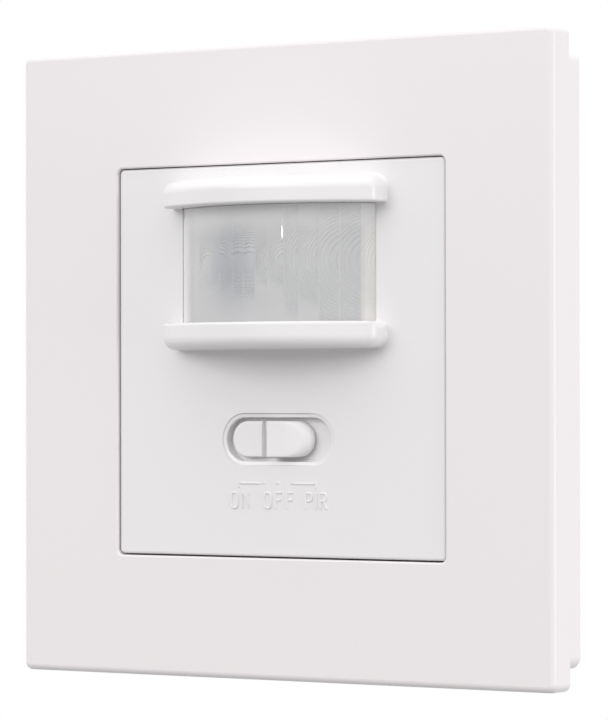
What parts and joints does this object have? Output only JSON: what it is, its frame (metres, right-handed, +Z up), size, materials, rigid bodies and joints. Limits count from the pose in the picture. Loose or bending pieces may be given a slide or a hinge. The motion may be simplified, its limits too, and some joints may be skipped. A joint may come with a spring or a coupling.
{
  "type": "motion sensor light switch",
  "caption": "Flush wall light switch with a heat sensing motion detector: square frame, hooded curved lens and an on, off and automatic slide knob, with its wall box insert.",
  "frame": {"origin": "centre of the wall box's screw pattern, on the wall's surface, where the support plate lies", "axes": "+Z up, +X to the right as seen from the room, +Y into the wall; the frame's face looks along -Y"},
  "size_m": [0.08, 0.0502, 0.08],
  "materials": {
    "white_frame": "satin gloss moulding",
    "white_cover": "satin gloss moulding",
    "white_knob": "satin",
    "lens_film": "translucent, fine ringed fields",
    "inner_white": "plain moulding",
    "steel_sheet": "galvanised",
    "steel_screws": "zinc plated",
    "housing_grey": "fine eroded texture",
    "board_green": "solder mask over glass laminate",
    "can_metal": "nickel plated",
    "dark_window": "polished filter plate",
    "cell_orange": "clear coat over tracks",
    "indicator_red": "tinted resin",
    "chip_black": "moulded resin",
    "switch_metal": "tinned sheet",
    "switch_brown": "laminate",
    "lever_black": "plain moulding",
    "trimmer_blue": "plain moulding",
    "rotor_white": "plain moulding",
    "header_black": "plain moulding",
    "relay_blue": "sealed case",
    "capacitor_yellow": "moulded box",
    "sleeve_black": "shrunk sleeve",
    "disc_blue": "dipped resin",
    "fuse_tan": "lacquered",
    "terminal_white": "plain moulding",
    "brass": "bright"
  },
  "bodies": {
    "switch_body": {"outer_frame": "white_frame", "wall_surround": "white_frame", "centre_cover": "white_cover", "fresnel_lens": "lens_film", "lens_retainer": "inner_white", "front_chassis": "inner_white", "chassis_screws": "steel_screws", "support_plate": "steel_sheet", "rear_housing": "housing_grey", "sensor_board": "board_green", "pir_sensor": "can_metal", "pir_window": "dark_window", "light_sensor": "cell_orange", "indicator_led": "indicator_red", "control_chip": "chip_black", "switch_shell": "switch_metal", "switch_base": "switch_brown", "time_trimmer_base": "trimmer_blue", "light_trimmer_base": "trimmer_blue", "header_socket": "header_black", "header_plug": "header_black", "power_board": "board_green", "relay": "relay_blue", "film_capacitor": "capacitor_yellow", "bulk_capacitor": "sleeve_black", "surge_disc": "disc_blue", "bridge_rectifier": "chip_black", "fuse_resistor": "fuse_tan", "terminal_block": "terminal_white", "terminal_cages": "brass", "terminal_screws": "steel_screws"},
    "mode_slider": {"slide_knob": "white_knob", "slider_plate": "inner_white", "switch_lever": "lever_black"},
    "time_rotor": {"time_trimmer_rotor": "rotor_white"},
    "light_rotor": {"light_trimmer_rotor": "rotor_white"}
  },
  "joints": [
    {"name": "mode_slide", "type": "slide", "parent": "switch_body", "child": "mode_slider", "axis": [1, 0, 0], "range_m": [0, 0.0024]},
    {"name": "time_turn", "type": "hinge", "parent": "switch_body", "child": "time_rotor", "pos_m": [-0.0146, -0.0038, -0.001], "axis": [0, -1, 0], "range_deg": [-135, 135]},
    {"name": "light_turn", "type": "hinge", "parent": "switch_body", "child": "light_rotor", "pos_m": [0.0146, -0.0038, -0.001], "axis": [0, -1, 0], "range_deg": [-135, 135]}
  ]
}
